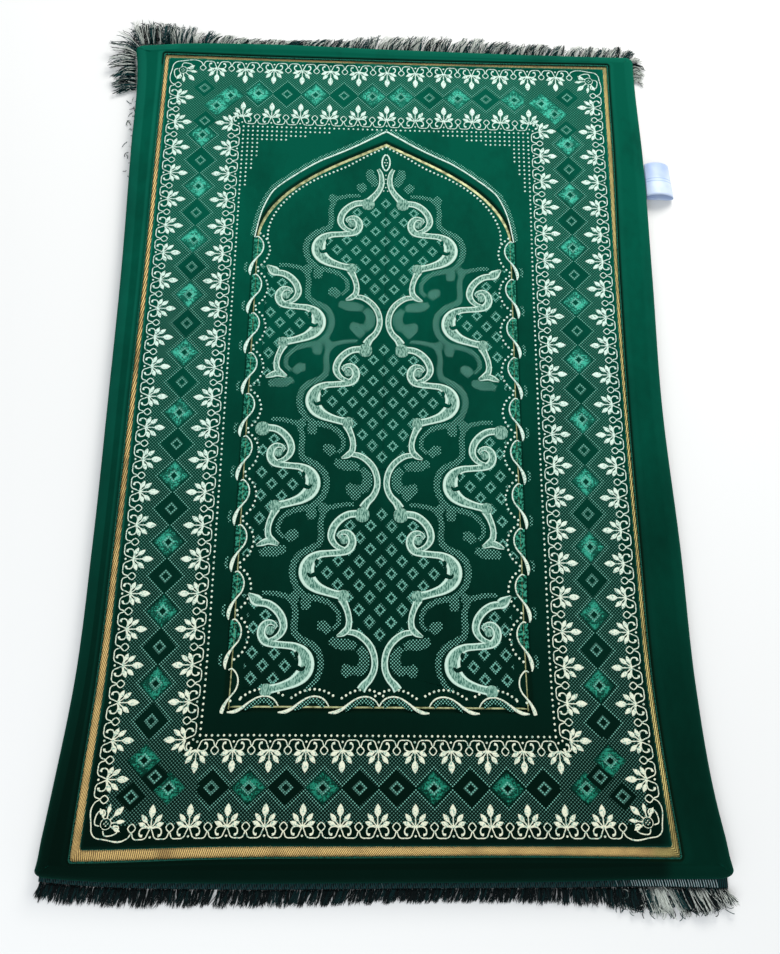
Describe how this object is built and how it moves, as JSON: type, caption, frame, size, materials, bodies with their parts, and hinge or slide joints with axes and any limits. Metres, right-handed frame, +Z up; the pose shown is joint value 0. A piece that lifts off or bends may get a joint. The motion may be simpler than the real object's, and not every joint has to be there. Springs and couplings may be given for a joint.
{
  "type": "padded velour prayer rug with fringed ends",
  "caption": "Thick padded velour prayer rug, lying flat, with a woven border, a carved arch niche, a recessed gold stripe, overlocked fringed ends and a plain satin side loop.",
  "frame": {"origin": "on the floor under the middle of the rug, on its flat underside", "axes": "+Y along the rug to the end that the arch points to, +Z up out of the pile, +X to the right"},
  "size_m": [0.8903, 1.29, 0.025],
  "materials": {
    "velour": "cut pile velour, deep green with cream figure",
    "overlock": "dark teal overlocked band with pale stitches",
    "fringe_yarn": "loose yarns, dark teal and cream",
    "satin": "glossy pale satin ribbon"
  },
  "bodies": {
    "root": {"rug_body": "velour", "band_far": "overlock", "band_near": "overlock", "fringe_far": "fringe_yarn", "fringe_near": "fringe_yarn", "side_tab": "satin"}
  },
  "joints": []
}
